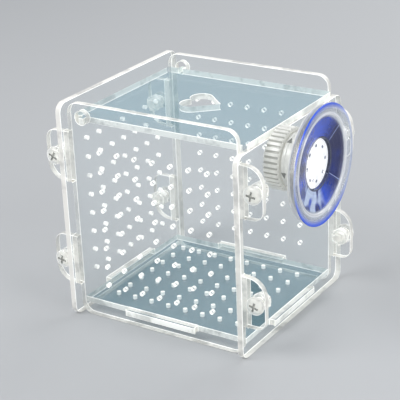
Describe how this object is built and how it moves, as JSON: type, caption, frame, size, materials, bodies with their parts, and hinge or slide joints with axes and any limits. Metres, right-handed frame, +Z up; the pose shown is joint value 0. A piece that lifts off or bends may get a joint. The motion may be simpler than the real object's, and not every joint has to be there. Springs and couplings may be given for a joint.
{
  "type": "fish breeding box",
  "caption": "Clear perforated aquarium breeding box of slotted acrylic sheets, with screwed ears, a hinged lid with a heart-shaped feeding hole and a twist-lock suction cup.",
  "frame": {"origin": "middle of the overall length and depth, at the lower edge of the panels", "axes": "+X from the lid's pivots towards the suction cup, +Y from front to back, +Z up"},
  "size_m": [0.1352, 0.1, 0.1187],
  "materials": {
    "acrylic": "polished clear acrylic sheet with laser-cut edges",
    "clear_plastic": "clear to milky moulded plastic",
    "white_plastic": "white moulded plastic",
    "soft_vinyl": "clear soft vinyl with a blue tint"
  },
  "bodies": {
    "box": {"front_panel": "acrylic", "back_panel": "acrylic", "left_panel": "acrylic", "right_panel": "acrylic", "floor_panel": "acrylic", "screw_front_left_lower": "clear_plastic", "screw_front_left_upper": "clear_plastic", "screw_front_right_lower": "clear_plastic", "screw_front_right_upper": "clear_plastic", "screw_back_left_lower": "clear_plastic", "screw_back_left_upper": "clear_plastic", "screw_back_right_lower": "clear_plastic", "screw_back_right_upper": "clear_plastic", "nut_front_left_lower": "clear_plastic", "nut_front_left_upper": "clear_plastic", "nut_front_right_lower": "clear_plastic", "nut_front_right_upper": "clear_plastic", "nut_back_left_lower": "clear_plastic", "nut_back_left_upper": "clear_plastic", "nut_back_right_lower": "clear_plastic", "nut_back_right_upper": "clear_plastic", "cup_bolt": "clear_plastic", "centre_disc": "white_plastic", "suction_cup": "soft_vinyl"},
    "lid": {"lid": "acrylic"},
    "knob": {"lock_knob": "clear_plastic"},
    "housing": {"cup_housing": "clear_plastic"}
  },
  "joints": [
    {"name": "lid_hinge", "type": "hinge", "parent": "box", "child": "lid", "pos_m": [-0.0456, 0, 0.1045], "axis": [0, -1, 0], "range_deg": [0, 136]},
    {"name": "knob_turn", "type": "hinge", "parent": "box", "child": "knob", "pos_m": [0.0476, -0.0145, 0.0902], "axis": [1, 0, 0], "range_deg": [0, 180]},
    {"name": "housing_slide", "type": "slide", "parent": "box", "child": "housing", "axis": [1, 0, 0], "range_m": [0, 0.002]}
  ],
  "couplings": [
    {"joint": "housing_slide", "follows": "knob_turn", "m_per_rad": 0.000636}
  ]
}
